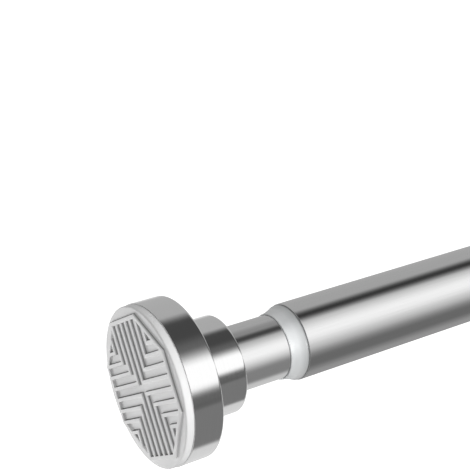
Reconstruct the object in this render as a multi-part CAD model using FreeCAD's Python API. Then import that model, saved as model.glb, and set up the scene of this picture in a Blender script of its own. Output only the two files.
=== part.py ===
import FreeCAD, Part
import math
import os

# Spring tension rod: two telescoping tubes between soft wall pads, sprung and locked inside.
# Origin at the centre of the near pad's tread face. +X runs along the rod, +Z is up. Millimetres.

# length of the rod as drawn, from tread face to tread face
rodLength = 420.0

# near end, measured along the rod from the tread face
treadRaise = 1.0
flangeThick = 3.4
ringDepth = 12.6
neckLength = 18.4
bareLength = 24.2
collarTaper = 7.6

# radii of the end cups and pads
cupR = 32.3
cupWall = 0.8
cupEdge = 0.9
neckRoom = 0.89
padInset = 0.35
padEdge = 0.7

# tubes; farRoom is the bare rod between the inner tube's end and the far tread face
outerTubeR = 16.0
outerTubeWall = 0.6
linerWall = 1.0
innerTubeR = 13.25
innerTubeWall = 0.6
farRoom = 153.0

# fits
slideFit = 0.08
pressFit = 0.05
pinFit = 0.02
looseFit = 0.15
seatFit = 0.4
stackGap = 0.1
weldLap = 0.1
cutOver = 1.0
edgeBreak = 0.3

# pad tread: ribs raised on the flange inside an octagonal border
octagonInset = 1.75
treadAngle = 57.0
treadMargin = 1.8
groovePitch = 4.55
grooveWidth = 2.9
studLength = 10.0
studPoint = 1.5
lipWidth = 1.6
lipDepth = 1.8

# moulded core in each cup
coreRingWall = 2.5
ribThick = 2.2
ribSet = 2.4
hubR = 6.5
hubBoreR = 5.0
webThick = 3.0
socketWall = 2.0
spigotLength = 10.0
spigotWall = 2.0
lugSize = 2.6
lugOut = 1.5
lugWall = 1.0
lugSetback = 2.0

# collar at the mouth of the outer tube
collarTipWall = 0.55
collarInsert = 18.0
collarLand = 0.35
collarLip = 0.6
linerSetback = 0.8

# spring and its seats
springR = 11.25
wireR = 1.25
springLength = 62.0
activeCoilCount = 10
groundShare = 0.25
seatBossLength = 4.0
seatBossEdge = 0.8
plugFlange = 4.0
plugSpigot = 16.0
plugBoreR = 4.0
pinR = 1.2
pinInset = 2.4
guideLength = 10.0
guideInset = 17.0
guideSlit = 1.5

# twist lock: threaded stud, split sleeve and cone nut
hubFlange = 4.0
hubNeckR = 7.5
hubNeckLength = 4.0
studR = 5.0
studEnd = 33.0
sleeveLength = 26.7
sleeveFront = 4.7
sleeveThroatR = 6.5
coneSlope = 0.25
coneTravel = 3.75
coneStart = 12.7
coneLength = 16.0
slitCount = 4
slitWidth = 1.6
slitRoot = 6.7
keyWidth = 1.4
keyHeight = 1.6
keyRoot = 1.0
keyFront = 4.0
keyBack = 1.0
sleeveGap = 0.3
washerR = 9.0
washerThick = 1.0
screwR = 2.5
screwLength = 12.0
screwHeadR = 4.6
screwHeadHigh = 3.0

# places that follow from the sizes
innerTubeEnd = rodLength - farRoom
padR = cupR - padInset
octagonR = padR - octagonInset
neckR = outerTubeR + pressFit + socketWall + stackGap + cupWall + neckRoom
rimX = treadRaise + flangeThick
shoulderX = rimX + ringDepth
neckBackX = shoulderX + neckLength
collarTipX = neckBackX + bareLength
mouthX = collarTipX + collarTaper
webX = shoulderX - cupWall - stackGap
tubeSeatX = webX + webThick + stackGap
linerR = outerTubeR - outerTubeWall - pressFit
linerBoreR = linerR - linerWall
guideR = linerBoreR - slideFit
innerBoreR = innerTubeR - innerTubeWall
springMeanR = springR - wireR
bossR = springMeanR - wireR - seatFit
plugSeatX = innerTubeEnd + plugFlange
hubX = plugSeatX + springLength
studX = hubX + hubFlange + hubNeckLength
sleeveX = studX + sleeveGap
screwSeatX = studX + studEnd

along = FreeCAD.Vector(1, 0, 0)
middle = FreeCAD.Vector(rodLength / 2, 0, 0)


def onAxis(x):
    return FreeCAD.Vector(x, 0, 0)


def turned(profile):
    # a closed outline of (x, radius) points revolved about the rod's axis
    points = [FreeCAD.Vector(x, r, 0) for x, r in profile]
    face = Part.Face(Part.makePolygon(points + [points[0]]))
    return face.revolve(onAxis(0), along, 360)


def rod(x0, x1, r):
    return Part.makeCylinder(r, x1 - x0, onAxis(x0), along)


def sleeve(x0, x1, outer, inner):
    return turned([(x0, inner), (x1, inner), (x1, outer), (x0, outer)])


def turnedAbout(shape, angle):
    copy = shape.copy()
    copy.rotate(onAxis(0), along, angle)
    return copy


def farEnd(shape):
    # the same piece at the other end of the rod
    return shape.mirror(middle, along)


def prism(sides, apothem, x0, x1, turn):
    # a regular prism along the axis, flats square to the angle turn
    radius = apothem / math.cos(math.pi / sides)
    points = []
    for i in range(sides + 1):
        a = math.radians(turn) + math.pi * (2 * i + 1) / sides
        points.append(FreeCAD.Vector(x0, radius * math.cos(a), radius * math.sin(a)))
    face = Part.Face(Part.makePolygon(points))
    return face.extrude(FreeCAD.Vector(x1 - x0, 0, 0))


def grooves(reach):
    # a plain cross in the middle, then nested grooves that each bend at the block's diagonals
    half = grooveWidth / 2
    count = int((reach + half) / groovePitch) + 1
    limit = prism(8, reach, -cutOver, treadRaise, treadAngle)
    bars = []
    for k in range(count):
        start = k * groovePitch - half
        for side in (k * groovePitch, -k * groovePitch):
            low = FreeCAD.Vector(-cutOver, side - half, start)
            bar = Part.makeBox(cutOver + treadRaise, grooveWidth, 2 * reach, low)
            for quarter in range(4):
                bars.append(turnedAbout(bar, treadAngle + quarter * 90).common(limit))
    return [bar for bar in bars if bar.Volume > 0]


def makePad():
    apothem = octagonR * math.cos(math.pi / 8)
    flange = turned([
        (treadRaise, 0),
        (treadRaise, padR - padEdge),
        (treadRaise + padEdge, padR),
        (rimX, padR),
        (rimX, 0),
    ])
    block = prism(8, apothem, 0, treadRaise + weldLap, treadAngle)
    pad = flange.fuse(block)
    pad = pad.cut(grooves(apothem - treadMargin))
    lipR = cupR - cupWall - stackGap - coreRingWall - looseFit
    lip = sleeve(rimX - weldLap, rimX + lipDepth, lipR, lipR - lipWidth)
    stud = turned([
        (rimX - weldLap, 0),
        (rimX - weldLap, hubBoreR - pressFit),
        (rimX + studLength - studPoint, hubBoreR - pressFit),
        (rimX + studLength, hubBoreR - pressFit - studPoint),
        (rimX + studLength, 0),
    ])
    return pad.fuse([lip, stud]).removeSplitter()


def makeCup(boreR):
    # one spun shell: rim, ring, flat shoulder, neck and a turned-in end with the tube's hole
    w = cupWall
    e = cupEdge
    return turned([
        (rimX, cupR - w),
        (rimX, cupR),
        (shoulderX - e, cupR),
        (shoulderX, cupR - e),
        (shoulderX, neckR),
        (neckBackX - e, neckR),
        (neckBackX, neckR - e),
        (neckBackX, boreR),
        (neckBackX - w, boreR),
        (neckBackX - w, neckR - w),
        (shoulderX - w, neckR - w),
        (shoulderX - w, cupR - w),
    ])


def makeCore(tubeR, tubeBoreR):
    # rim ring, cross ribs and hub in the cup, then a ribbed socket that holds the tube's end
    ringR = cupR - cupWall - stackGap
    neckBoreR = neckR - cupWall - stackGap
    backX = neckBackX - cupWall - stackGap
    socketBoreR = tubeR + pressFit
    socketR = min(socketBoreR + socketWall, neckBoreR)
    ribX = rimX + ribSet
    core = sleeve(rimX + stackGap, webX, ringR, ringR - coreRingWall)
    core = core.fuse([
        rod(rimX + stackGap, webX + webThick, hubR),
        rod(webX, webX + webThick, neckBoreR),
        sleeve(webX + webThick - weldLap, backX, socketR, socketBoreR),
        sleeve(webX + webThick - weldLap, tubeSeatX + spigotLength, tubeBoreR - pressFit,
               tubeBoreR - pressFit - spigotWall),
    ])
    ribs = []
    for quarter in range(4):
        low = FreeCAD.Vector(ribX, -ribThick / 2, 0)
        rib = Part.makeBox(webX - ribX, ribThick, ringR - coreRingWall / 2, low)
        fin = Part.makeBox(backX - webX, ribThick, neckBoreR - pressFit, FreeCAD.Vector(webX, -ribThick / 2, 0))
        lugX = ribX + lugSetback
        lugY = ribThick / 2 + lugSize
        lugZ = neckR + lugOut
        lug = Part.makeBox(webX - lugX, 2 * lugY, lugSize, FreeCAD.Vector(lugX, -lugY, lugZ))
        slot = Part.makeBox(webX - lugX, 2 * (lugY - lugWall), lugSize - lugWall,
                            FreeCAD.Vector(lugX, lugWall - lugY, lugZ))
        piece = rib.fuse(lug.cut(slot))
        inside = rod(webX, backX, socketBoreR)
        ribs.append(turnedAbout(piece, treadAngle + quarter * 90))
        ribs.append(turnedAbout(fin.cut(inside), treadAngle + quarter * 90))
    core = core.fuse(ribs)
    bore = rod(rimX - cutOver, webX + webThick + cutOver, hubBoreR)
    return core.cut(bore).removeSplitter()


def makeInnerTube():
    tube = sleeve(tubeSeatX, innerTubeEnd, innerTubeR, innerBoreR)
    pinX = innerTubeEnd - plugSpigot / 2
    hole = Part.makeCylinder(pinR + pinFit, 2 * outerTubeR, FreeCAD.Vector(pinX, 0, -outerTubeR),
                             FreeCAD.Vector(0, 0, 1))
    return tube.cut(hole)


def makeGuideRing():
    x0 = innerTubeEnd - guideInset - guideLength
    ring = sleeve(x0, x0 + guideLength, guideR, innerTubeR + pinFit)
    slit = Part.makeBox(guideLength + 2 * cutOver, guideSlit, 2 * outerTubeR,
                        FreeCAD.Vector(x0 - cutOver, -guideSlit / 2, 0))
    return ring.cut(slit)


def makeSpringPlug():
    spigotR = innerBoreR - pressFit
    plug = turned([
        (innerTubeEnd - plugSpigot, plugBoreR),
        (innerTubeEnd - plugSpigot, spigotR),
        (innerTubeEnd, spigotR),
        (innerTubeEnd, guideR),
        (plugSeatX, guideR),
        (plugSeatX, bossR),
        (plugSeatX + seatBossLength - seatBossEdge, bossR),
        (plugSeatX + seatBossLength, bossR - seatBossEdge),
        (plugSeatX + seatBossLength, plugBoreR),
    ])
    pinX = innerTubeEnd - plugSpigot / 2
    for side in (1, -1):
        hole = Part.makeCylinder(pinR + pinFit, outerTubeR,
                                 FreeCAD.Vector(pinX, 0, side * (innerBoreR - pinInset)),
                                 FreeCAD.Vector(0, 0, side))
        plug = plug.cut(hole)
    return plug


def makePlugPin(side):
    pinX = innerTubeEnd - plugSpigot / 2
    pin = Part.makeCylinder(pinR, innerTubeR - innerBoreR + pinInset,
                            FreeCAD.Vector(pinX, 0, side * (innerBoreR - pinInset)),
                            FreeCAD.Vector(0, 0, side))
    return pin.common(rod(innerTubeEnd - plugSpigot, innerTubeEnd, innerTubeR - pinFit))


def springStation(turns, firstX, pitch):
    # centre line of the wire: one closed coil at each end, even pitch between
    rise = 2 * wireR
    if turns <= 1:
        return firstX + rise * turns
    if turns >= activeCoilCount + 1:
        return firstX + rise + pitch * activeCoilCount + rise * (turns - activeCoilCount - 1)
    return firstX + rise + pitch * (turns - 1)


def makeSpring():
    stepCount = 12
    cornerCount = 6
    total = activeCoilCount + 2
    firstX = plugSeatX + groundShare * 2 * wireR
    span = springLength - 2 * groundShare * 2 * wireR
    pitch = (span - 4 * wireR) / activeCoilCount
    stretch = 1 / math.cos(math.pi / stepCount)
    grow = math.sqrt(2 * math.pi / (cornerCount * math.sin(2 * math.pi / cornerCount)))
    rings = []
    for i in range(total * stepCount + 1):
        turns = i / stepCount
        x = springStation(turns, firstX, pitch)
        a = 2 * math.pi * turns
        points = []
        for c in range(cornerCount + 1):
            b = 2 * math.pi * c / cornerCount
            r = (springMeanR + wireR * grow * math.cos(b)) * (1 + (stretch - 1) / 2)
            points.append(FreeCAD.Vector(x + wireR * grow * math.sin(b), r * math.cos(a), r * math.sin(a)))
        rings.append(Part.makePolygon(points))
    coil = Part.makeLoft(rings, True, True)
    ground = Part.makeBox(springLength, 4 * springR, 4 * springR,
                          FreeCAD.Vector(plugSeatX, -2 * springR, -2 * springR))
    return coil.common(ground)


def makeLockHub():
    hub = turned([
        (hubX - seatBossLength, 0),
        (hubX - seatBossLength, bossR - seatBossEdge),
        (hubX - seatBossLength + seatBossEdge, bossR),
        (hubX, bossR),
        (hubX, guideR),
        (hubX + hubFlange, guideR),
        (hubX + hubFlange, hubNeckR),
        (studX, hubNeckR),
        (studX, studR),
        (screwSeatX, studR),
        (screwSeatX, 0),
    ])
    return hub.cut(rod(screwSeatX - screwLength - cutOver, screwSeatX + cutOver, screwR + pinFit))


def makeLockSleeve():
    gripR = linerBoreR - pressFit
    x1 = sleeveX + sleeveLength
    throatX = sleeveX + slitRoot
    wideR = sleeveThroatR + coneSlope * (x1 - throatX)
    body = turned([
        (sleeveX, studR + slideFit),
        (sleeveX, gripR),
        (x1, gripR),
        (x1, wideR),
        (throatX, sleeveThroatR),
        (sleeveX + sleeveFront, sleeveThroatR),
        (sleeveX + sleeveFront, studR + slideFit),
    ])
    for i in range(slitCount):
        slit = Part.makeBox(sleeveLength, slitWidth, 2 * outerTubeR, FreeCAD.Vector(throatX, -slitWidth / 2, 0))
        body = body.cut(turnedAbout(slit, i * 360 / slitCount))
    return body


def makeLockCone():
    throatX = sleeveX + slitRoot
    clear = coneSlope * coneTravel + pressFit + stackGap
    x0 = sleeveX + coneStart
    x1 = x0 + coneLength
    r0 = sleeveThroatR + coneSlope * (x0 - throatX) - clear
    r1 = sleeveThroatR + coneSlope * (x1 - throatX) - clear
    cone = turned([
        (x0, studR + slideFit),
        (x0, r0),
        (x1, r1),
        (x1, studR + slideFit),
    ])
    for side in (0, 180):
        key = Part.makeBox(coneLength - keyFront - keyBack, keyWidth, r1 + keyHeight - studR - keyRoot,
                           FreeCAD.Vector(x0 + keyFront, -keyWidth / 2, studR + keyRoot))
        cone = cone.fuse(turnedAbout(key, side))
    return cone.removeSplitter()


def makeLockWasher():
    return sleeve(screwSeatX, screwSeatX + washerThick, washerR, screwR + looseFit)


def makeLockScrew():
    headX = screwSeatX + washerThick
    shank = rod(screwSeatX - screwLength, headX + weldLap, screwR)
    head = prism(6, screwHeadR, headX, headX + screwHeadHigh, 0)
    return shank.fuse(head).removeSplitter()


def makeCollar():
    # a flared ferrule outside the tube and a plain bearing sleeve inside it
    boreR = innerTubeR + slideFit
    tipR = innerTubeR + collarTipWall
    flareR = outerTubeR - collarLand
    stepCount = 4
    curve = []
    for i in range(stepCount + 1):
        t = i / stepCount
        curve.append((collarTipX + (collarTaper - collarLip) * t, tipR + (flareR - tipR) * t ** 1.7))
    insertR = outerTubeR - outerTubeWall - pressFit
    profile = [(collarTipX, boreR)] + curve
    profile += [
        (mouthX, flareR),
        (mouthX, insertR),
        (mouthX + collarInsert, insertR),
        (mouthX + collarInsert, boreR),
    ]
    return turned(profile)


def makeOuterTube():
    # the mouth's outer edge is broken by a small chamfer
    inner = outerTubeR - outerTubeWall
    return turned([
        (mouthX, inner),
        (mouthX, outerTubeR - edgeBreak),
        (mouthX + edgeBreak, outerTubeR),
        (rodLength - tubeSeatX, outerTubeR),
        (rodLength - tubeSeatX, inner),
    ])


def makeLinerTube():
    return sleeve(mouthX + collarInsert + linerSetback, rodLength - tubeSeatX, linerR, linerBoreR)


parts = {
    "pad_a": makePad(),
    "cup_a": makeCup(innerTubeR + looseFit),
    "core_a": makeCore(innerTubeR, innerBoreR),
    "inner_tube": makeInnerTube(),
    "guide_ring": makeGuideRing(),
    "spring_plug": makeSpringPlug(),
    "plug_pin_top": makePlugPin(1),
    "plug_pin_bottom": makePlugPin(-1),
    "spring": makeSpring(),
    "lock_hub": makeLockHub(),
    "lock_sleeve": makeLockSleeve(),
    "lock_cone": makeLockCone(),
    "lock_washer": makeLockWasher(),
    "lock_screw": makeLockScrew(),
    "collar": makeCollar(),
    "outer_tube": makeOuterTube(),
    "liner_tube": makeLinerTube(),
    "cup_b": farEnd(makeCup(outerTubeR + looseFit)),
    "core_b": farEnd(makeCore(outerTubeR, linerBoreR)),
    "pad_b": farEnd(makePad()),
}

os.makedirs("parts", exist_ok=True)
for name, shape in parts.items():
    if shape.ShapeType != "Solid" and len(shape.Solids) == 1:
        shape = shape.Solids[0]
    print(name, len(shape.Solids), shape.isValid(), round(shape.Volume, 1))
    shape.exportStep("parts/" + name + ".step")
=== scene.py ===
import math
import bpy
import bmesh
from mathutils import Matrix, Vector
from mathutils.geometry import delaunay_2d_cdt


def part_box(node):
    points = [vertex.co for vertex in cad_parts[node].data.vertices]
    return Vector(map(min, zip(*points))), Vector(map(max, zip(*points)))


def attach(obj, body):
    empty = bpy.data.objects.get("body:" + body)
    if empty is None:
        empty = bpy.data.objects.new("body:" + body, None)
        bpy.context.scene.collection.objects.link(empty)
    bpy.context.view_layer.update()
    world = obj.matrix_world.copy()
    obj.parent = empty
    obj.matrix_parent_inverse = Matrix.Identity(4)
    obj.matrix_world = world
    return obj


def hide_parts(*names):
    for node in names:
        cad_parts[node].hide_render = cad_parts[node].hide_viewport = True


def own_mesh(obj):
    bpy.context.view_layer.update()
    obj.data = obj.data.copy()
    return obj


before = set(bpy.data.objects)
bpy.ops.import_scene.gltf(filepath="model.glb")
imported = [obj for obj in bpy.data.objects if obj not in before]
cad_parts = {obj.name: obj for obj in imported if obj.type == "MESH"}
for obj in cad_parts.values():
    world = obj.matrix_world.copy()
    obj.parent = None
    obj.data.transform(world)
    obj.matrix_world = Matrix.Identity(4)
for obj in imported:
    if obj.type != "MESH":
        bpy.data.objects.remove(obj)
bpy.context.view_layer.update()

scene = bpy.context.scene
print("frame loaded", len(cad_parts), "nodes")

# camera at the photograph's place: near end at the lower left, the rod running off to the right
camSet = {
    "place": (-0.17965, -0.34838, 0.24024),
    "forward": (0.48907, 0.76904, -0.41158),
    "up": (0.22086, 0.34730, 0.91138),
    "lens": 91.9,
    "sensor": 36,
    "nearest": 0.01,
    "farthest": 20,
}


def addCamera(s):
    data = bpy.data.cameras.new("photoCamera")
    data.lens = s["lens"]
    data.sensor_width = s["sensor"]
    data.clip_start = s["nearest"]
    data.clip_end = s["farthest"]
    cam = bpy.data.objects.new("photoCamera", data)
    forward = Vector(s["forward"]).normalized()
    up = Vector(s["up"]).normalized()
    right = forward.cross(up).normalized()
    up = right.cross(forward)
    turn = Matrix((right, up, -forward)).transposed().to_4x4()
    cam.matrix_world = Matrix.Translation(s["place"]) @ turn
    scene.collection.objects.link(cam)
    scene.camera = cam


addCamera(camSet)
scene.view_settings.view_transform = "Standard"
print("camera set")


# materials

def newMaterial(name):
    mat = bpy.data.materials.new(name)
    mat.use_nodes = True
    tree = mat.node_tree
    shader = tree.nodes["Principled BSDF"]
    return mat, tree, shader


def addNode(tree, kind, **values):
    node = tree.nodes.new(kind)
    for key, value in values.items():
        setattr(node, key, value)
    return node


def ramp(tree, source, stops):
    # even changes of colour between the stops, each (place, colour)
    node = addNode(tree, "ShaderNodeValToRGB")
    marks = node.color_ramp.elements
    marks.remove(marks[-1])
    marks[0].position = stops[0][0]
    marks[0].color = (*stops[0][1], 1)
    for place, colour in stops[1:]:
        marks.new(place).color = (*colour, 1)
    tree.links.new(source, node.inputs["Fac"])
    return node.outputs["Color"]


def mathsIn(tree):
    # a function that adds a sum to the tree, from numbers or sockets, and hands back its result

    def maths(operation, *values):
        node = addNode(tree, "ShaderNodeMath", operation=operation)
        for socket, value in zip(node.inputs, values):
            if isinstance(value, (int, float)):
                socket.default_value = value
            else:
                tree.links.new(value, socket)
        return node.outputs[0]

    return maths


def grey(v):
    return (v, v, v)


noiseSpan = (0.3, 0.7)  # most of a noise texture's values lie between these
steelGrain = {"detail": 4, "finer": 0.6, "height": 0.00002}
plasticGrain = {"mottleDetail": 3, "textureDetail": 4, "height": 0.00004, "coatRough": 0.15, "ior": 1.46}


def brushedSteel(name, s):
    # fine grain drawn out along one way of the surface, on the object's own coordinates
    mat, tree, shader = newMaterial(name)
    coords = addNode(tree, "ShaderNodeTexCoord")
    stretch = addNode(tree, "ShaderNodeMapping")
    stretch.inputs["Scale"].default_value = s["grain"]
    noise = addNode(tree, "ShaderNodeTexNoise")
    noise.inputs["Scale"].default_value = 1
    noise.inputs["Detail"].default_value = steelGrain["detail"]
    noise.inputs["Roughness"].default_value = steelGrain["finer"]
    tree.links.new(coords.outputs["Object"], stretch.inputs["Vector"])
    tree.links.new(stretch.outputs["Vector"], noise.inputs["Vector"])
    colour = ramp(tree, noise.outputs["Fac"], list(zip(noiseSpan, s["tones"])))
    tree.links.new(colour, shader.inputs["Base Color"])
    rough = addNode(tree, "ShaderNodeMapRange")
    for label, value in zip(("From Min", "From Max", "To Min", "To Max"), (*noiseSpan, *s["rough"])):
        rough.inputs[label].default_value = value
    tree.links.new(noise.outputs["Fac"], rough.inputs["Value"])
    tree.links.new(rough.outputs["Result"], shader.inputs["Roughness"])
    bump = addNode(tree, "ShaderNodeBump")
    bump.inputs["Strength"].default_value = s["bump"]
    bump.inputs["Distance"].default_value = steelGrain["height"]
    tree.links.new(noise.outputs["Fac"], bump.inputs["Height"])
    tree.links.new(bump.outputs["Normal"], shader.inputs["Normal"])
    shader.inputs["Metallic"].default_value = 1
    return mat


def mouldedPlastic(name, s):
    # even body colour with a faint mottle and a fine moulded texture
    mat, tree, shader = newMaterial(name)
    coords = addNode(tree, "ShaderNodeTexCoord")
    mottle = addNode(tree, "ShaderNodeTexNoise")
    mottle.inputs["Scale"].default_value = s["mottle"]
    mottle.inputs["Detail"].default_value = plasticGrain["mottleDetail"]
    tree.links.new(coords.outputs["Object"], mottle.inputs["Vector"])
    colour = ramp(tree, mottle.outputs["Fac"], list(zip(noiseSpan, s["tones"])))
    tree.links.new(colour, shader.inputs["Base Color"])
    fine = addNode(tree, "ShaderNodeTexNoise")
    fine.inputs["Scale"].default_value = s["texture"]
    fine.inputs["Detail"].default_value = plasticGrain["textureDetail"]
    tree.links.new(coords.outputs["Object"], fine.inputs["Vector"])
    bump = addNode(tree, "ShaderNodeBump")
    bump.inputs["Strength"].default_value = s["bump"]
    bump.inputs["Distance"].default_value = plasticGrain["height"]
    tree.links.new(fine.outputs["Fac"], bump.inputs["Height"])
    tree.links.new(bump.outputs["Normal"], shader.inputs["Normal"])
    shader.inputs["Roughness"].default_value = s["rough"]
    shader.inputs["Coat Weight"].default_value = s.get("coat", 0)
    shader.inputs["Coat Roughness"].default_value = plasticGrain["coatRough"]
    shader.inputs["Transmission Weight"].default_value = s.get("clear", 0)
    shader.inputs["Metallic"].default_value = s.get("pearl", 0)
    shader.inputs["IOR"].default_value = plasticGrain["ior"]
    return mat, tree, shader


def paintedShadeAlong(name, s):
    # a moulded plastic with painted shade: its colour darkens by the shade table along the rod, counted
    # either way from the plane x = centre
    mat, tree, shader = mouldedPlastic(name, s)
    coords = addNode(tree, "ShaderNodeTexCoord")
    split = addNode(tree, "ShaderNodeSeparateXYZ")
    tree.links.new(coords.outputs["Object"], split.inputs[0])
    centred = addNode(tree, "ShaderNodeMath", operation="SUBTRACT")
    centred.inputs[1].default_value = s["centre"]
    size = addNode(tree, "ShaderNodeMath", operation="ABSOLUTE")
    share = addNode(tree, "ShaderNodeMapRange")
    share.inputs["From Min"].default_value = s["from"]
    share.inputs["From Max"].default_value = s["to"]
    tree.links.new(split.outputs["X"], centred.inputs[0])
    tree.links.new(centred.outputs[0], size.inputs[0])
    tree.links.new(size.outputs[0], share.inputs["Value"])
    shade = ramp(tree, share.outputs["Result"], [(place, grey(v)) for place, v in s["shade"]])
    mix = addNode(tree, "ShaderNodeMix", data_type="RGBA", blend_type="MULTIPLY")
    mix.inputs[0].default_value = 1
    tree.links.new(shader.inputs["Base Color"].links[0].from_socket, mix.inputs[6])
    tree.links.new(shade, mix.inputs[7])
    tree.links.new(mix.outputs[2], shader.inputs["Base Color"])
    return mat


tubeSteel = brushedSteel("tubeSteel", {
    "grain": (40, 2600, 2600), "tones": (grey(0.755), grey(0.785)), "rough": (0.1, 0.13), "bump": 0.03})
cupSteel = brushedSteel("cupSteel", {
    "grain": (2600, 60, 60), "tones": (grey(0.755), grey(0.785)), "rough": (0.1, 0.13), "bump": 0.02})
linerSteel = brushedSteel("linerSteel", {
    "grain": (60, 900, 900), "tones": (grey(0.32), grey(0.42)), "rough": (0.3, 0.45), "bump": 0.2})
springSteel = brushedSteel("springSteel", {
    "grain": (900, 900, 900), "tones": (grey(0.5), grey(0.62)), "rough": (0.16, 0.26), "bump": 0.1})
zincSteel = brushedSteel("zincSteel", {
    "grain": (700, 700, 700), "tones": ((0.6, 0.62, 0.64), (0.7, 0.71, 0.72)),
    "rough": (0.22, 0.34), "bump": 0.1})
# the painted groove shades count 1 mm in from either pad's face, as far as the grooves go
rubberSet = {
    "tones": (grey(0.8), grey(0.84)), "mottle": 90, "texture": 5200, "bump": 0.12, "rough": 0.62,
    "centre": 0.21, "from": 0.21, "to": 0.209}
padRubber, _, _ = mouldedPlastic("padRubber", {**rubberSet, "coat": 0.5})
# painted shade in the grooves: the walls darken with depth and are darkest at their foot, and the floor is
# only a little darker than the land
groovePaintedShade = paintedShadeAlong("groovePaintedShade", {
    **rubberSet, "shade": [(0, 1), (0.25, 0.88), (0.6, 0.5), (0.87, 0.3), (1, 0.93)]})
# dark painted shade on walls that face up, from just below their top edge down to their foot
edgePaintedShade = paintedShadeAlong("edgePaintedShade", {
    **rubberSet, "shade": [(0, 1), (0.02, 0.4), (0.08, 0.16), (0.97, 0.13), (1, 0.7)]})
# faint painted shade on walls that face down and on the closed ends of grooves, a little darker with depth
endPaintedShade = paintedShadeAlong("endPaintedShade", {
    **rubberSet, "shade": [(0, 1), (0.6, 0.97), (0.87, 0.93), (1, 0.96)]})
corePlastic, _, _ = mouldedPlastic("corePlastic", {
    "tones": (grey(0.78), grey(0.82)), "mottle": 60, "texture": 3000, "bump": 0.15, "rough": 0.5})
milkyPlastic, _, _ = mouldedPlastic("milkyPlastic", {
    "tones": ((0.87, 0.89, 0.9), (0.92, 0.93, 0.93)), "mottle": 60, "texture": 2400, "bump": 0.05,
    "rough": 0.3, "coat": 0.3, "clear": 0.1, "pearl": 0.25})
# the collar's plastic with painted shade: a little darker at its tip and darkening over its second half
# toward the outer tube's mouth, strongly at the very end, where the mouth shades it
collarPlasticPaintedShade = paintedShadeAlong("collarPlasticPaintedShade", {
    "tones": ((0.82, 0.84, 0.85), (0.87, 0.88, 0.88)), "mottle": 60, "texture": 2400, "bump": 0.05,
    "rough": 0.38, "coat": 0.15, "clear": 0.05, "pearl": 0.3,
    "centre": 0, "from": 0.0596, "to": 0.0672,
    "shade": [(0, 0.9), (0.08, 1), (0.5, 1), (0.8, 0.8), (1, 0.35)]})
lockPlastic, _, _ = mouldedPlastic("lockPlastic", {
    "tones": (grey(0.62), grey(0.68)), "mottle": 80, "texture": 2600, "bump": 0.15, "rough": 0.45})
print("materials made")


# turned pieces: an outline of (distance along the rod, radius, corner radius) spun about the axis

def softened(outline, steps=6, hold=0.00006, straight=0.02):
    # each corner with a radius becomes a small arc, with a ring just beyond it that keeps long faces straight
    points = []
    count = len(outline)
    for i in range(count):
        x, r, radius = outline[i]
        here = Vector((x, r))
        before = (Vector(outline[i - 1][:2]) - here).normalized()
        after = (Vector(outline[(i + 1) % count][:2]) - here).normalized()
        angle = before.angle(after)
        if radius <= 0 or abs(math.pi - angle) < straight:
            points.append((x, r))
            continue
        reach = radius / math.tan(angle / 2)
        start = here + before * reach
        end = here + after * reach
        centre = here + (before + after).normalized() * (radius / math.sin(angle / 2))
        a0 = math.atan2(start.y - centre.y, start.x - centre.x)
        a1 = math.atan2(end.y - centre.y, end.x - centre.x)
        turn = (a1 - a0 + math.pi) % (2 * math.pi) - math.pi
        points.append(tuple(start + before * hold))
        for k in range(steps + 1):
            a = a0 + turn * k / steps
            points.append((centre.x + radius * math.cos(a), centre.y + radius * math.sin(a)))
        points.append(tuple(end + after * hold))
    return points


def turnedPiece(name, points, segments, material, sharp):
    bm = bmesh.new()
    rings = []
    for x, r in points:
        ring = []
        for k in range(segments):
            a = 2 * math.pi * k / segments
            ring.append(bm.verts.new((x, r * math.cos(a), r * math.sin(a))))
        rings.append(ring)
    for i in range(len(rings)):
        a, b = rings[i], rings[(i + 1) % len(rings)]
        for k in range(segments):
            n = (k + 1) % segments
            bm.faces.new((a[k], a[n], b[n], b[k]))
    bmesh.ops.recalc_face_normals(bm, faces=bm.faces[:])
    mesh = bpy.data.meshes.new(name)
    bm.to_mesh(mesh)
    bm.free()
    mesh.shade_smooth()
    mesh.set_sharp_from_angle(angle=math.radians(sharp))
    mesh.materials.append(material)
    piece = bpy.data.objects.new(name, mesh)
    scene.collection.objects.link(piece)
    return piece


def nodeSpan(node):
    low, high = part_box(node)
    return low[0], high[0], max(high[1], -low[1], high[2], -low[2])


# end cups: one spun steel shell with a soft shoulder and a turned-in neck
cupSet = {
    "wall": 0.0008,
    "neckR": 0.01984,
    "ringDepth": 0.0126,
    "rimRound": 0.00025,
    "shoulderRound": 0.0011,
    "neckRound": 0.0012,
    "rootRound": 0.0006,
    "lipRound": 0.0002,
    "insideRound": 0.0004,
    "insideRoot": 0.0008,
    "nearBoreR": 0.0134,
    "farBoreR": 0.01615,
    "segments": 192,
    "sharp": 60,
}


def cupOutline(s, rimX, shoulderX, backX, cupR, boreR, way):
    w = s["wall"]
    bend = s["insideRound"]
    return [
        (rimX, cupR - w, s["rimRound"]),
        (rimX, cupR, s["rimRound"]),
        (shoulderX, cupR, s["shoulderRound"]),
        (shoulderX, s["neckR"], s["rootRound"]),
        (backX, s["neckR"], s["neckRound"]),
        (backX, boreR, s["lipRound"]),
        (backX - w * way, boreR, s["lipRound"]),
        (backX - w * way, s["neckR"] - w, bend),
        (shoulderX - w * way, s["neckR"] - w, s["insideRoot"]),
        (shoulderX - w * way, cupR - w, bend),
    ]


def addCup(s, name, node, body, boreR, way):
    x0, x1, cupR = nodeSpan(node)
    rimX, backX = (x0, x1) if way > 0 else (x1, x0)
    shoulderX = rimX + way * s["ringDepth"]
    outline = cupOutline(s, rimX, shoulderX, backX, cupR, boreR, way)
    cup = turnedPiece(name, softened(outline), s["segments"], cupSteel, s["sharp"])
    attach(cup, body)
    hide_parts(node)


addCup(cupSet, "cup_shell_near", "cup_a", "near_end", cupSet["nearBoreR"], 1)
addCup(cupSet, "cup_shell_far", "cup_b", "far_end", cupSet["farBoreR"], -1)
print("cups turned")


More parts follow.
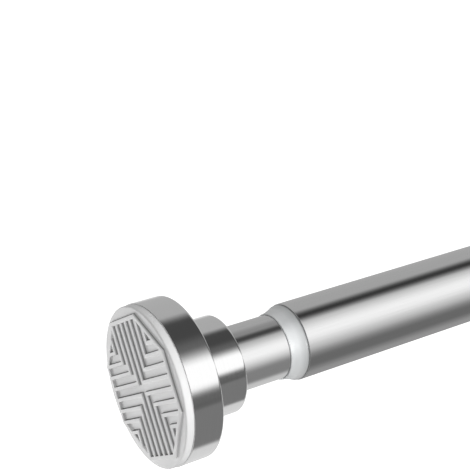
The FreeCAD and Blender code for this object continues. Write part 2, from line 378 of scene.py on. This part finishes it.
# tubes: thin welded steel, the outer one with a softened mouth
tubeSet = {
    "wall": 0.0006,
    "outerR": 0.016,
    "innerR": 0.01325,
    "mouthRound": 0.00035,
    "endRound": 0.00008,
    "segments": 192,
    "sharp": 60,
}


def addTube(s, name, node, body, radius, mouthRound):
    x0, x1, _ = nodeSpan(node)
    inner = radius - s["wall"]
    outline = [
        (x0, inner, 0),
        (x0, radius, mouthRound),
        (x1, radius, s["endRound"]),
        (x1, inner, 0),
    ]
    tube = turnedPiece(name, softened(outline), s["segments"], tubeSteel, s["sharp"])
    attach(tube, body)
    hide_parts(node)


addTube(tubeSet, "outer_tube_shell", "outer_tube", "far_end", tubeSet["outerR"], tubeSet["mouthRound"])
addTube(tubeSet, "inner_tube_shell", "inner_tube", "near_end", tubeSet["innerR"], tubeSet["endRound"])
print("tubes turned")


# collar: milky moulded ferrule that flares from the inner tube up to the mouth of the outer one
collarSet = {
    "taper": 0.0076,
    "land": 0.0006,
    "tipWall": 0.00055,
    "tipEdge": 0.0002,
    "tipSoft": 0.00006,
    "endEdge": 0.0003,
    "flareR": 0.01565,
    "seam": 0.0006,
    "boreR": 0.01333,
    "insertR": 0.01535,
    "power": 1.7,
    "steps": 18,
    "segments": 160,
    "sharp": 40,
}


def addCollar(s):
    x0, x1, _ = nodeSpan("collar")
    mouthX = x0 + s["taper"]
    tipR = tubeSet["innerR"] + s["tipWall"]
    points = [(x0, s["boreR"]), (x0, tipR - s["tipEdge"]), (x0 + s["tipSoft"], tipR - s["tipSoft"])]
    for i in range(1, s["steps"] + 1):
        t = i / s["steps"]
        x = x0 + (s["taper"] - s["land"] - s["seam"]) * t
        points.append((x, tipR + (s["flareR"] - tipR) * t ** s["power"]))
    points += [
        (mouthX - s["seam"], s["flareR"]),
        (mouthX - s["seam"], s["insertR"]),
        (x1 - s["endEdge"], s["insertR"]),
        (x1, s["insertR"] - s["endEdge"]),
        (x1, s["boreR"]),
    ]
    collar = turnedPiece("collar_flare", points, s["segments"], collarPlasticPaintedShade, s["sharp"])
    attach(collar, "far_end")
    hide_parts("collar")


addCollar(collarSet)
print("collar turned")


# wall pads: soft rubber, ribs raised on the flange inside an octagonal border, every edge rounded
padSet = {
    "raise": 0.001,
    "thick": 0.0044,
    "radius": 0.03195,
    "flangeRound": 0.0007,
    "octagonR": 0.0302,
    "blockRound": 0.0003,
    "blockFoot": 0.00015,
    "margin": 0.0018,
    "pitch": 0.00455,
    "grooveWide": 0.0029,
    "lipRound": 0.00025,
    "floorRound": 0.0002,
    "angle": 57,
    "lipR": 0.02875,
    "lipWide": 0.0016,
    "lipDeep": 0.0018,
    "studR": 0.00495,
    "studLong": 0.01,
    "studPoint": 0.0015,
    "backEdge": 0.0002,
    "facesUp": 0.9,
    "facesDown": -0.3,
    "segments": 192,
    "sharp": 35,
}


def grown(loop, d):
    # the same outline moved outwards by d, corners mitred
    area = sum(loop[i - 1][0] * p[1] - p[0] * loop[i - 1][1] for i, p in enumerate(loop))
    side = d if area > 0 else -d
    points = []
    for i, p in enumerate(loop):
        before = loop[i - 1]
        after = loop[(i + 1) % len(loop)]
        a = Vector((p[0] - before[0], p[1] - before[1])).normalized()
        b = Vector((after[0] - p[0], after[1] - p[1])).normalized()
        na = Vector((a.y, -a.x))
        nb = Vector((b.y, -b.x))
        push = (na + nb) / (1 + na.dot(nb))
        points.append((p[0] + side * push.x, p[1] + side * push.y))
    return points


def inside(loop, u, v):
    found = False
    for i, (u1, v1) in enumerate(loop):
        u0, v0 = loop[i - 1]
        if (v0 > v) != (v1 > v) and u < u0 + (u1 - u0) * (v - v0) / (v1 - v0):
            found = not found
    return found


def grooveReach(s):
    # how far the grooves run: straight out from the middle, and as u + v at the slanting sides
    reach = s["octagonR"] * math.cos(math.pi / 8) - s["margin"]
    return reach, math.sqrt(2) * reach


def wallMarks(s, loop, raised=False):
    # the material of each wall: 1 with painted shade that deepens down the groove, 2 with dark painted shade
    # where it faces up, 3 with faint painted shade where it faces down or closes a groove's end
    reach, slope = grooveReach(s)
    close = 1e-6
    marks = []
    for i, point in enumerate(loop):
        here = Vector(point)
        before = Vector(loop[i - 1])
        along = (here - before).normalized()
        middle = (here + before) / 2
        # the upward part of the way the wall faces: into a groove, or away from a raised block
        up = along.y
        if inside(loop, middle.x + close * along.y, middle.y - close * along.x) == raised:
            up = -up
        ends = [max(abs(u), abs(v)) > reach - close or abs(u) + abs(v) > slope - close
                for u, v in (here, before)]
        closes = all(ends) and len(loop) > 3 and not raised
        marks.append(2 if up > s["facesUp"] else 3 if up < s["facesDown"] or closes else 1)
    return marks


def grooveLoops(s):
    # a plain cross in the middle, then nested grooves that each bend at the block's diagonals
    reach, slope = grooveReach(s)
    half = s["grooveWide"] / 2

    def top(u):
        return min(reach, slope - u)

    loops = [[
        (half, half), (half, reach), (-half, reach), (-half, half), (-reach, half), (-reach, -half),
        (-half, -half), (-half, -reach), (half, -reach), (half, -half), (reach, -half), (reach, half),
    ]]
    k = 1
    while 2 * (k * s["pitch"] - half) < slope - half:
        low, high = k * s["pitch"] - half, k * s["pitch"] + half
        bend = [(low, low), (top(low), low), (top(high), high),
                (high, high), (high, top(high)), (low, top(low))]
        if 2 * high >= slope:
            bend = [(low, low), (top(low), low), (low, top(low))]
        for across, up in ((1, 1), (-1, 1), (-1, -1), (1, -1)):
            loops.append([(across * u, up * v) for u, v in bend])
        k += 1
    return loops


def quarterArc(radius, steps=3):
    # (out, down) along a rounded edge
    turns = [math.pi / 2 * k / steps for k in range(steps + 1)]
    return [(radius * math.sin(t), radius * (1 - math.cos(t))) for t in turns]


def hollowArc(radius, steps=3):
    # (out, height over the floor) along the round at the foot of a wall
    return [(down, radius - out) for out, down in quarterArc(radius, steps)]


def addPad(s, name, node, body, way):
    x0, x1, _ = nodeSpan(node)
    face = x0 if way > 0 else x1
    turn = math.radians(s["angle"])
    bm = bmesh.new()

    def ringOf(loop, depth):
        ring = []
        for u, v in loop:
            y = u * math.cos(turn) - v * math.sin(turn)
            z = u * math.sin(turn) + v * math.cos(turn)
            ring.append(bm.verts.new((face + way * depth, y, z)))
        return ring

    def skin(rings, marks=None):
        for a, b in zip(rings, rings[1:]):
            for i in range(len(a)):
                side = bm.faces.new((a[i - 1], a[i], b[i], b[i - 1]))
                side.smooth = True
                side.material_index = marks[i] if marks else 0

    def flatFill(outer, outerRing, holes, holeRings):
        # a flat face between an outline and the holes in it
        flat = [p for loop in [outer] + holes for p in loop]
        verts = [v for ring in [outerRing] + holeRings for v in ring]
        edges = []
        first = 0
        for loop in [outer] + holes:
            count = len(loop)
            edges += [(first + i, first + (i + 1) % count) for i in range(count)]
            first += count
        insideOnly, mergeReach = 1, 1e-8
        filled = delaunay_2d_cdt([Vector(p) for p in flat], edges, [], insideOnly, mergeReach)
        for tri in filled[2]:
            corners = [filled[3][i][0] for i in tri]
            u = sum(flat[i][0] for i in corners) / 3
            v = sum(flat[i][1] for i in corners) / 3
            if not any(inside(loop, u, v) for loop in holes):
                bm.faces.new([verts[i] for i in corners])

    octagon = []
    for i in range(8):
        a = math.pi * (2 * i + 1) / 8
        octagon.append((s["octagonR"] * math.cos(a), s["octagonR"] * math.sin(a)))
    land = grown(octagon, -s["blockRound"])
    rings = [ringOf(grown(octagon, out - s["blockRound"]), down) for out, down in quarterArc(s["blockRound"])]
    foot = s["blockFoot"]
    for out, height in hollowArc(foot):
        rings.append(ringOf(grown(octagon, out), s["raise"] - height))
    skin(rings, wallMarks(s, octagon, True))
    grooveEdges = []
    grooveRings = []
    lip = s["lipRound"]
    for loop in grooveLoops(s):
        upper = [ringOf(grown(loop, lip - out), down) for out, down in quarterArc(lip)]
        lower = [upper[-1]]
        for out, height in hollowArc(s["floorRound"]):
            lower.append(ringOf(grown(loop, -out), s["raise"] - height))
        marks = wallMarks(s, loop)
        skin(upper, marks)
        skin(lower, marks)
        # groove floors take material 1, with its painted shade
        bm.faces.new(lower[-1]).material_index = 1
        grooveEdges.append(grown(loop, lip))
        grooveRings.append(upper[0])
    flatFill(land, rings[0], grooveEdges, grooveRings)

    def circle(radius):
        turns = [2 * math.pi * i / s["segments"] for i in range(s["segments"])]
        return [(radius * math.cos(a), radius * math.sin(a)) for a in turns]

    flange = circle(s["radius"] - s["flangeRound"])
    turned = [(s["radius"] - s["flangeRound"] + out, s["raise"] + down)
              for out, down in quarterArc(s["flangeRound"], 6)]
    rim = s["thick"]
    edge = s["backEdge"]
    stud = s["studR"]
    turned += [
        (s["radius"], rim - edge), (s["radius"] - edge, rim),
        (s["lipR"], rim), (s["lipR"], rim + s["lipDeep"]),
        (s["lipR"] - s["lipWide"], rim + s["lipDeep"]), (s["lipR"] - s["lipWide"], rim), (stud, rim),
        (stud, rim + s["studLong"] - s["studPoint"]), (stud - s["studPoint"], rim + s["studLong"]),
    ]
    backRings = [ringOf(circle(radius), depth) for radius, depth in turned]
    skin(backRings)
    bm.faces.new(backRings[-1])
    flatFill(flange, backRings[0], [grown(octagon, foot)], [rings[-1]])
    bmesh.ops.recalc_face_normals(bm, faces=bm.faces[:])
    mesh = bpy.data.meshes.new(name)
    bm.to_mesh(mesh)
    bm.free()
    mesh.set_sharp_from_angle(angle=math.radians(s["sharp"]))
    for rubber in (padRubber, groovePaintedShade, edgePaintedShade, endPaintedShade):
        mesh.materials.append(rubber)
    pad = bpy.data.objects.new(name, mesh)
    scene.collection.objects.link(pad)
    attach(pad, body)
    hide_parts(node)


addPad(padSet, "pad_ribbed_near", "pad_a", "near_end", 1)
addPad(padSet, "pad_ribbed_far", "pad_b", "far_end", -1)
print("pads made")


# spring: round wire along a coil with closed, flat-ground ends
springSet = {
    "coilR": 0.01,
    "wireR": 0.00125,
    "activeTurns": 10,
    "ground": 0.25,
    "pointsPerTurn": 40,
    "wireSides": 14,
    "sharp": 50,
    "shut": 0.709,
}


def addTree(name, inputs):
    tree = bpy.data.node_groups.new(name, "GeometryNodeTree")
    tree.interface.new_socket("Geometry", in_out="OUTPUT", socket_type="NodeSocketGeometry")
    sockets = {}
    for label, kind in inputs:
        sockets[label] = tree.interface.new_socket(label, in_out="INPUT", socket_type="NodeSocket" + kind)
    return tree, sockets


def springTree():
    tree, sockets = addTree("springWire", [
        ("Coil Radius", "Float"), ("Wire Radius", "Float"), ("Active Turns", "Float"),
        ("Seat", "Float"), ("Length", "Float"), ("Ground", "Float"),
        ("Points", "Int"), ("Sides", "Int"), ("Material", "Material")])
    given = tree.nodes.new("NodeGroupInput").outputs
    maths = mathsIn(tree)
    line =tree.nodes.new("GeometryNodeMeshLine")
    tree.links.new(given["Points"], line.inputs["Count"])
    path = tree.nodes.new("GeometryNodeMeshToCurve")
    tree.links.new(line.outputs["Mesh"], path.inputs["Mesh"])
    index = tree.nodes.new("GeometryNodeInputIndex").outputs[0]
    share = maths("DIVIDE", index, maths("SUBTRACT", given["Points"], 1))
    turns = maths("MULTIPLY", share, maths("ADD", given["Active Turns"], 2))
    rise = maths("MULTIPLY", given["Wire Radius"], 2)
    first = maths("MULTIPLY", rise, given["Ground"])
    span = maths("SUBTRACT", given["Length"], maths("MULTIPLY", first, 2))
    pitch = maths("DIVIDE", maths("SUBTRACT", span, maths("MULTIPLY", rise, 2)), given["Active Turns"])
    closed = maths("MULTIPLY", rise, maths("MINIMUM", turns, 1))
    opened = maths("MAXIMUM", maths("SUBTRACT", turns, 1), 0)
    spread = maths("MULTIPLY", pitch, maths("MINIMUM", opened, given["Active Turns"]))
    beyond = maths("SUBTRACT", opened, given["Active Turns"])
    last = maths("MULTIPLY", rise, maths("MAXIMUM", beyond, 0))
    x = maths("ADD", maths("ADD", maths("ADD", given["Seat"], first), closed), maths("ADD", spread, last))
    angle = maths("MULTIPLY", turns, 2 * math.pi)
    place = tree.nodes.new("ShaderNodeCombineXYZ")
    tree.links.new(x, place.inputs[0])
    tree.links.new(maths("MULTIPLY", given["Coil Radius"], maths("COSINE", angle)), place.inputs[1])
    tree.links.new(maths("MULTIPLY", given["Coil Radius"], maths("SINE", angle)), place.inputs[2])
    coil = tree.nodes.new("GeometryNodeSetPosition")
    tree.links.new(path.outputs["Curve"], coil.inputs["Geometry"])
    tree.links.new(place.outputs[0], coil.inputs["Position"])
    ring = tree.nodes.new("GeometryNodeCurvePrimitiveCircle")
    tree.links.new(given["Sides"], ring.inputs["Resolution"])
    tree.links.new(given["Wire Radius"], ring.inputs["Radius"])
    wire = tree.nodes.new("GeometryNodeCurveToMesh")
    wire.inputs["Fill Caps"].default_value = True
    tree.links.new(coil.outputs["Geometry"], wire.inputs["Curve"])
    tree.links.new(ring.outputs["Curve"], wire.inputs["Profile Curve"])
    where = tree.nodes.new("ShaderNodeSeparateXYZ")
    tree.links.new(tree.nodes.new("GeometryNodeInputPosition").outputs[0], where.inputs[0])
    flat = tree.nodes.new("ShaderNodeCombineXYZ")
    end = maths("ADD", given["Seat"], given["Length"])
    tree.links.new(maths("MINIMUM", maths("MAXIMUM", where.outputs[0], given["Seat"]), end), flat.inputs[0])
    tree.links.new(where.outputs[1], flat.inputs[1])
    tree.links.new(where.outputs[2], flat.inputs[2])
    groundEnds = tree.nodes.new("GeometryNodeSetPosition")
    tree.links.new(wire.outputs["Mesh"], groundEnds.inputs["Geometry"])
    tree.links.new(flat.outputs[0], groundEnds.inputs["Position"])
    real = tree.nodes.new("GeometryNodeRealizeInstances")
    tree.links.new(groundEnds.outputs["Geometry"], real.inputs["Geometry"])
    paint = tree.nodes.new("GeometryNodeSetMaterial")
    tree.links.new(real.outputs["Geometry"], paint.inputs["Geometry"])
    tree.links.new(given["Material"], paint.inputs["Material"])
    out = tree.nodes.new("NodeGroupOutput")
    tree.links.new(paint.outputs["Geometry"], out.inputs["Geometry"])
    return tree, sockets


def addSpring(s):
    x0, x1, _ = nodeSpan("spring")
    base = bpy.data.objects.new("spring_wire_base", bpy.data.meshes.new("springBase"))
    scene.collection.objects.link(base)
    tree, sockets = springTree()
    coil = base.modifiers.new("springWire", "NODES")
    coil.node_group = tree
    values = {
        "Coil Radius": s["coilR"], "Wire Radius": s["wireR"],
        "Active Turns": float(s["activeTurns"]), "Seat": x0,
        "Length": x1 - x0, "Ground": s["ground"],
        "Points": (s["activeTurns"] + 2) * s["pointsPerTurn"] + 1, "Sides": s["wireSides"],
        "Material": springSteel,
    }
    for label, value in values.items():
        coil[sockets[label].identifier] = value
    mesh = bpy.data.meshes.new_from_object(base.evaluated_get(bpy.context.evaluated_depsgraph_get()))
    bpy.data.objects.remove(base)
    mesh.name = "spring_wire"
    mesh.shade_smooth()
    mesh.set_sharp_from_angle(angle=math.radians(s["sharp"]))
    wire = bpy.data.objects.new("spring_wire", mesh)
    scene.collection.objects.link(wire)
    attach(wire, "near_end")
    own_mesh(wire)
    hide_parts("spring")


addSpring(springSet)
print("spring wound")


# finishes of the inner pieces, which keep their solids
finishes = {
    "core_a": corePlastic, "core_b": corePlastic, "guide_ring": milkyPlastic, "spring_plug": lockPlastic,
    "plug_pin_top": zincSteel, "plug_pin_bottom": zincSteel, "lock_hub": zincSteel, "lock_screw": zincSteel,
    "lock_sleeve": milkyPlastic, "lock_cone": lockPlastic, "lock_washer": zincSteel, "liner_tube": linerSteel,
}
for node, finish in finishes.items():
    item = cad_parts[node]
    if not item.data.materials:
        item.data.materials.append(finish)
    for k in range(len(item.material_slots)):
        item.material_slots[k].material = finish
print("finishes given")


# stage: pale floor, soft light, and round reflection screens about the rod for the polished metal
stageSet = {
    "floorZ": -0.75,
    "floorSize": 8,
    "floorTone": 0.93,
    "floorRough": 0.8,
    "floorLift": 0.8,
    "world": 0.46,
    "lowLamp": {"place": (-0.36, 0.52, -0.5), "aim": (0, 0, 0), "size": 0.45, "power": 5.2},
    "rimLamp": {"place": (0.2, -0.5, 0.12), "aim": (0.02, 0, 0), "size": 0.3, "power": 2},
    "farLamp": {"place": (0.85, -0.2, 0.25), "aim": (0.42, 0, 0), "size": 0.3, "power": 1.5},
}
screenSet = {
    "from": -1.6,
    "to": 2.6,
    "sides": 96,
    "start": -30,
    "gamma": 2.2,
    "steelTone": 0.77,
    "screens": [
        # radius, the pieces that see it (none: all the others), even fill light, and soft strips that add
        # to it or take from it: middle, half width and softness in degrees about the rod, and strength
        (0.1, ["cup_shell_near", "cup_shell_far"], 0.8, [
            (42, 35, 7, -0.15), (93, 17, 8, -0.53), (118, 8, 8, -0.43), (150, 16, 6, 0.2),
            (177, 7, 6, -0.42), (214, 31, 5, -0.35)]),
        (0.104, ["inner_tube_shell"], 0.62, [
            (72, 16, 14, -0.1), (92, 10, 9, -0.33), (150, 30, 26, 0.33), (224, 28, 16, -0.13),
            (288, 36, 10, 0.12)]),
        (0.11, [], 0.62, [
            (87, 11, 12, -0.42), (143, 30, 28, 0.32), (224, 26, 18, -0.22), (288, 36, 12, -0.07)]),
    ],
}


def seenShare(tree):
    # 1 for the camera and for what metal and clear plastic show, 0 for the light that falls on things
    path = addNode(tree, "ShaderNodeLightPath")
    most = path.outputs["Is Camera Ray"]
    for label in ("Is Glossy Ray", "Is Transmission Ray"):
        either = addNode(tree, "ShaderNodeMath", operation="MAXIMUM")
        tree.links.new(most, either.inputs[0])
        tree.links.new(path.outputs[label], either.inputs[1])
        most = either.outputs[0]
    return most


def addFloor(s):
    mesh = bpy.data.meshes.new("floor")
    h = s["floorSize"] / 2
    mesh.from_pydata([(-h, -h, 0), (h, -h, 0), (h, h, 0), (-h, h, 0)], [], [(0, 1, 2, 3)])
    floor = bpy.data.objects.new("floor", mesh)
    floor.location.z = s["floorZ"]
    scene.collection.objects.link(floor)
    mat, tree, shader = newMaterial("paleFloor")
    shader.inputs["Base Color"].default_value = (*grey(s["floorTone"]), 1)
    shader.inputs["Roughness"].default_value = s["floorRough"]
    glow = addNode(tree, "ShaderNodeEmission")
    both = addNode(tree, "ShaderNodeAddShader")
    lift = addNode(tree, "ShaderNodeMath", operation="MULTIPLY")
    lift.inputs[1].default_value = s["floorLift"]
    tree.links.new(seenShare(tree), lift.inputs[0])
    tree.links.new(lift.outputs[0], glow.inputs["Strength"])
    tree.links.new(shader.outputs[0], both.inputs[0])
    tree.links.new(glow.outputs[0], both.inputs[1])
    tree.links.new(both.outputs[0], tree.nodes["Material Output"].inputs["Surface"])
    mesh.materials.append(mat)


def stripLight(s, fill, strips, outermost):
    # fill light and soft strips by the angle about the rod; an inner screen also lets rays through
    mat = bpy.data.materials.new("screenStrips")
    mat.use_nodes = True
    tree = mat.node_tree
    tree.nodes.clear()
    maths = mathsIn(tree)
    out = addNode(tree, "ShaderNodeOutputMaterial")
    glow = addNode(tree, "ShaderNodeEmission")
    coords = addNode(tree, "ShaderNodeTexCoord")
    split = addNode(tree, "ShaderNodeSeparateXYZ")
    tree.links.new(coords.outputs["Object"], split.inputs[0])
    turn = maths("ARCTAN2", split.outputs["Z"], split.outputs["Y"])
    angle = maths("WRAP", maths("DEGREES", turn), s["start"] + 360, s["start"])
    shown = fill
    for middle, half, soft, strength in strips:
        strip = addNode(tree, "ShaderNodeMapRange", interpolation_type="SMOOTHSTEP")
        span = {"From Min": half - soft, "From Max": half + soft, "To Min": strength, "To Max": 0}
        for label, value in span.items():
            strip.inputs[label].default_value = value
        tree.links.new(maths("ABSOLUTE", maths("SUBTRACT", angle, middle)), strip.inputs["Value"])
        shown = maths("ADD", shown, strip.outputs["Result"])
    # brightness as the satin steel shows it, turned into light
    light = maths("DIVIDE", maths("POWER", shown, s["gamma"]), s["steelTone"])
    tree.links.new(light, glow.inputs["Strength"])
    surface = glow.outputs[0]
    if not outermost:
        through = addNode(tree, "ShaderNodeBsdfTransparent")
        both = addNode(tree, "ShaderNodeAddShader")
        tree.links.new(surface, both.inputs[0])
        tree.links.new(through.outputs[0], both.inputs[1])
        surface = both.outputs[0]
    tree.links.new(surface, out.inputs["Surface"])
    return mat


def addScreens(s):
    seenBefore = []
    for radius, seers, fill, strips in s["screens"]:
        bm = bmesh.new()
        rings = []
        for x in (s["from"], s["to"]):
            ring = []
            for k in range(s["sides"]):
                a = 2 * math.pi * k / s["sides"]
                ring.append(bm.verts.new((x, radius * math.cos(a), radius * math.sin(a))))
            rings.append(ring)
        for k in range(s["sides"]):
            bm.faces.new((rings[0][k - 1], rings[0][k], rings[1][k], rings[1][k - 1]))
        mesh = bpy.data.meshes.new("reflectionScreen")
        bm.to_mesh(mesh)
        bm.free()
        mesh.materials.append(stripLight(s, fill, strips, not seers))
        screen = bpy.data.objects.new("reflectionScreen", mesh)
        scene.collection.objects.link(screen)
        screen.visible_camera = False
        screen.visible_diffuse = False
        screen.visible_shadow = False
        screen.visible_transmission = False
        group = bpy.data.collections.new("screenSeers")
        for name in seers or seenBefore:
            group.objects.link(bpy.data.objects[name])
        if not seers:
            for item in group.collection_objects:
                item.light_linking.link_state = "EXCLUDE"
        screen.light_linking.receiver_collection = group
        seenBefore += seers


def addLamp(name, s):
    data = bpy.data.lights.new(name, "AREA")
    data.shape = "DISK"
    data.size = s["size"]
    data.energy = s["power"]
    lamp = bpy.data.objects.new(name, data)
    lamp.location = s["place"]
    aim = Vector(s["aim"]) - Vector(s["place"])
    lamp.rotation_euler = aim.to_track_quat("-Z", "Y").to_euler()
    lamp.visible_glossy = False
    lamp.visible_transmission = False
    scene.collection.objects.link(lamp)


def addWorld(s):
    world = bpy.data.worlds.new("studio")
    scene.world = world
    world.use_nodes = True
    tree = world.node_tree
    tree.nodes.clear()
    out = addNode(tree, "ShaderNodeOutputWorld")
    back = addNode(tree, "ShaderNodeBackground")
    back.inputs["Color"].default_value = (1, 1, 1, 1)
    mix = addNode(tree, "ShaderNodeMix", data_type="FLOAT")
    mix.inputs["A"].default_value = s["world"]
    mix.inputs["B"].default_value = 1
    tree.links.new(seenShare(tree), mix.inputs["Factor"])
    tree.links.new(mix.outputs["Result"], back.inputs["Strength"])
    tree.links.new(back.outputs[0], out.inputs["Surface"])


addFloor(stageSet)
addScreens(screenSet)
for lampName in ("lowLamp", "rimLamp", "farLamp"):
    addLamp(lampName, stageSet[lampName])
addWorld(stageSet)
print("stage set")
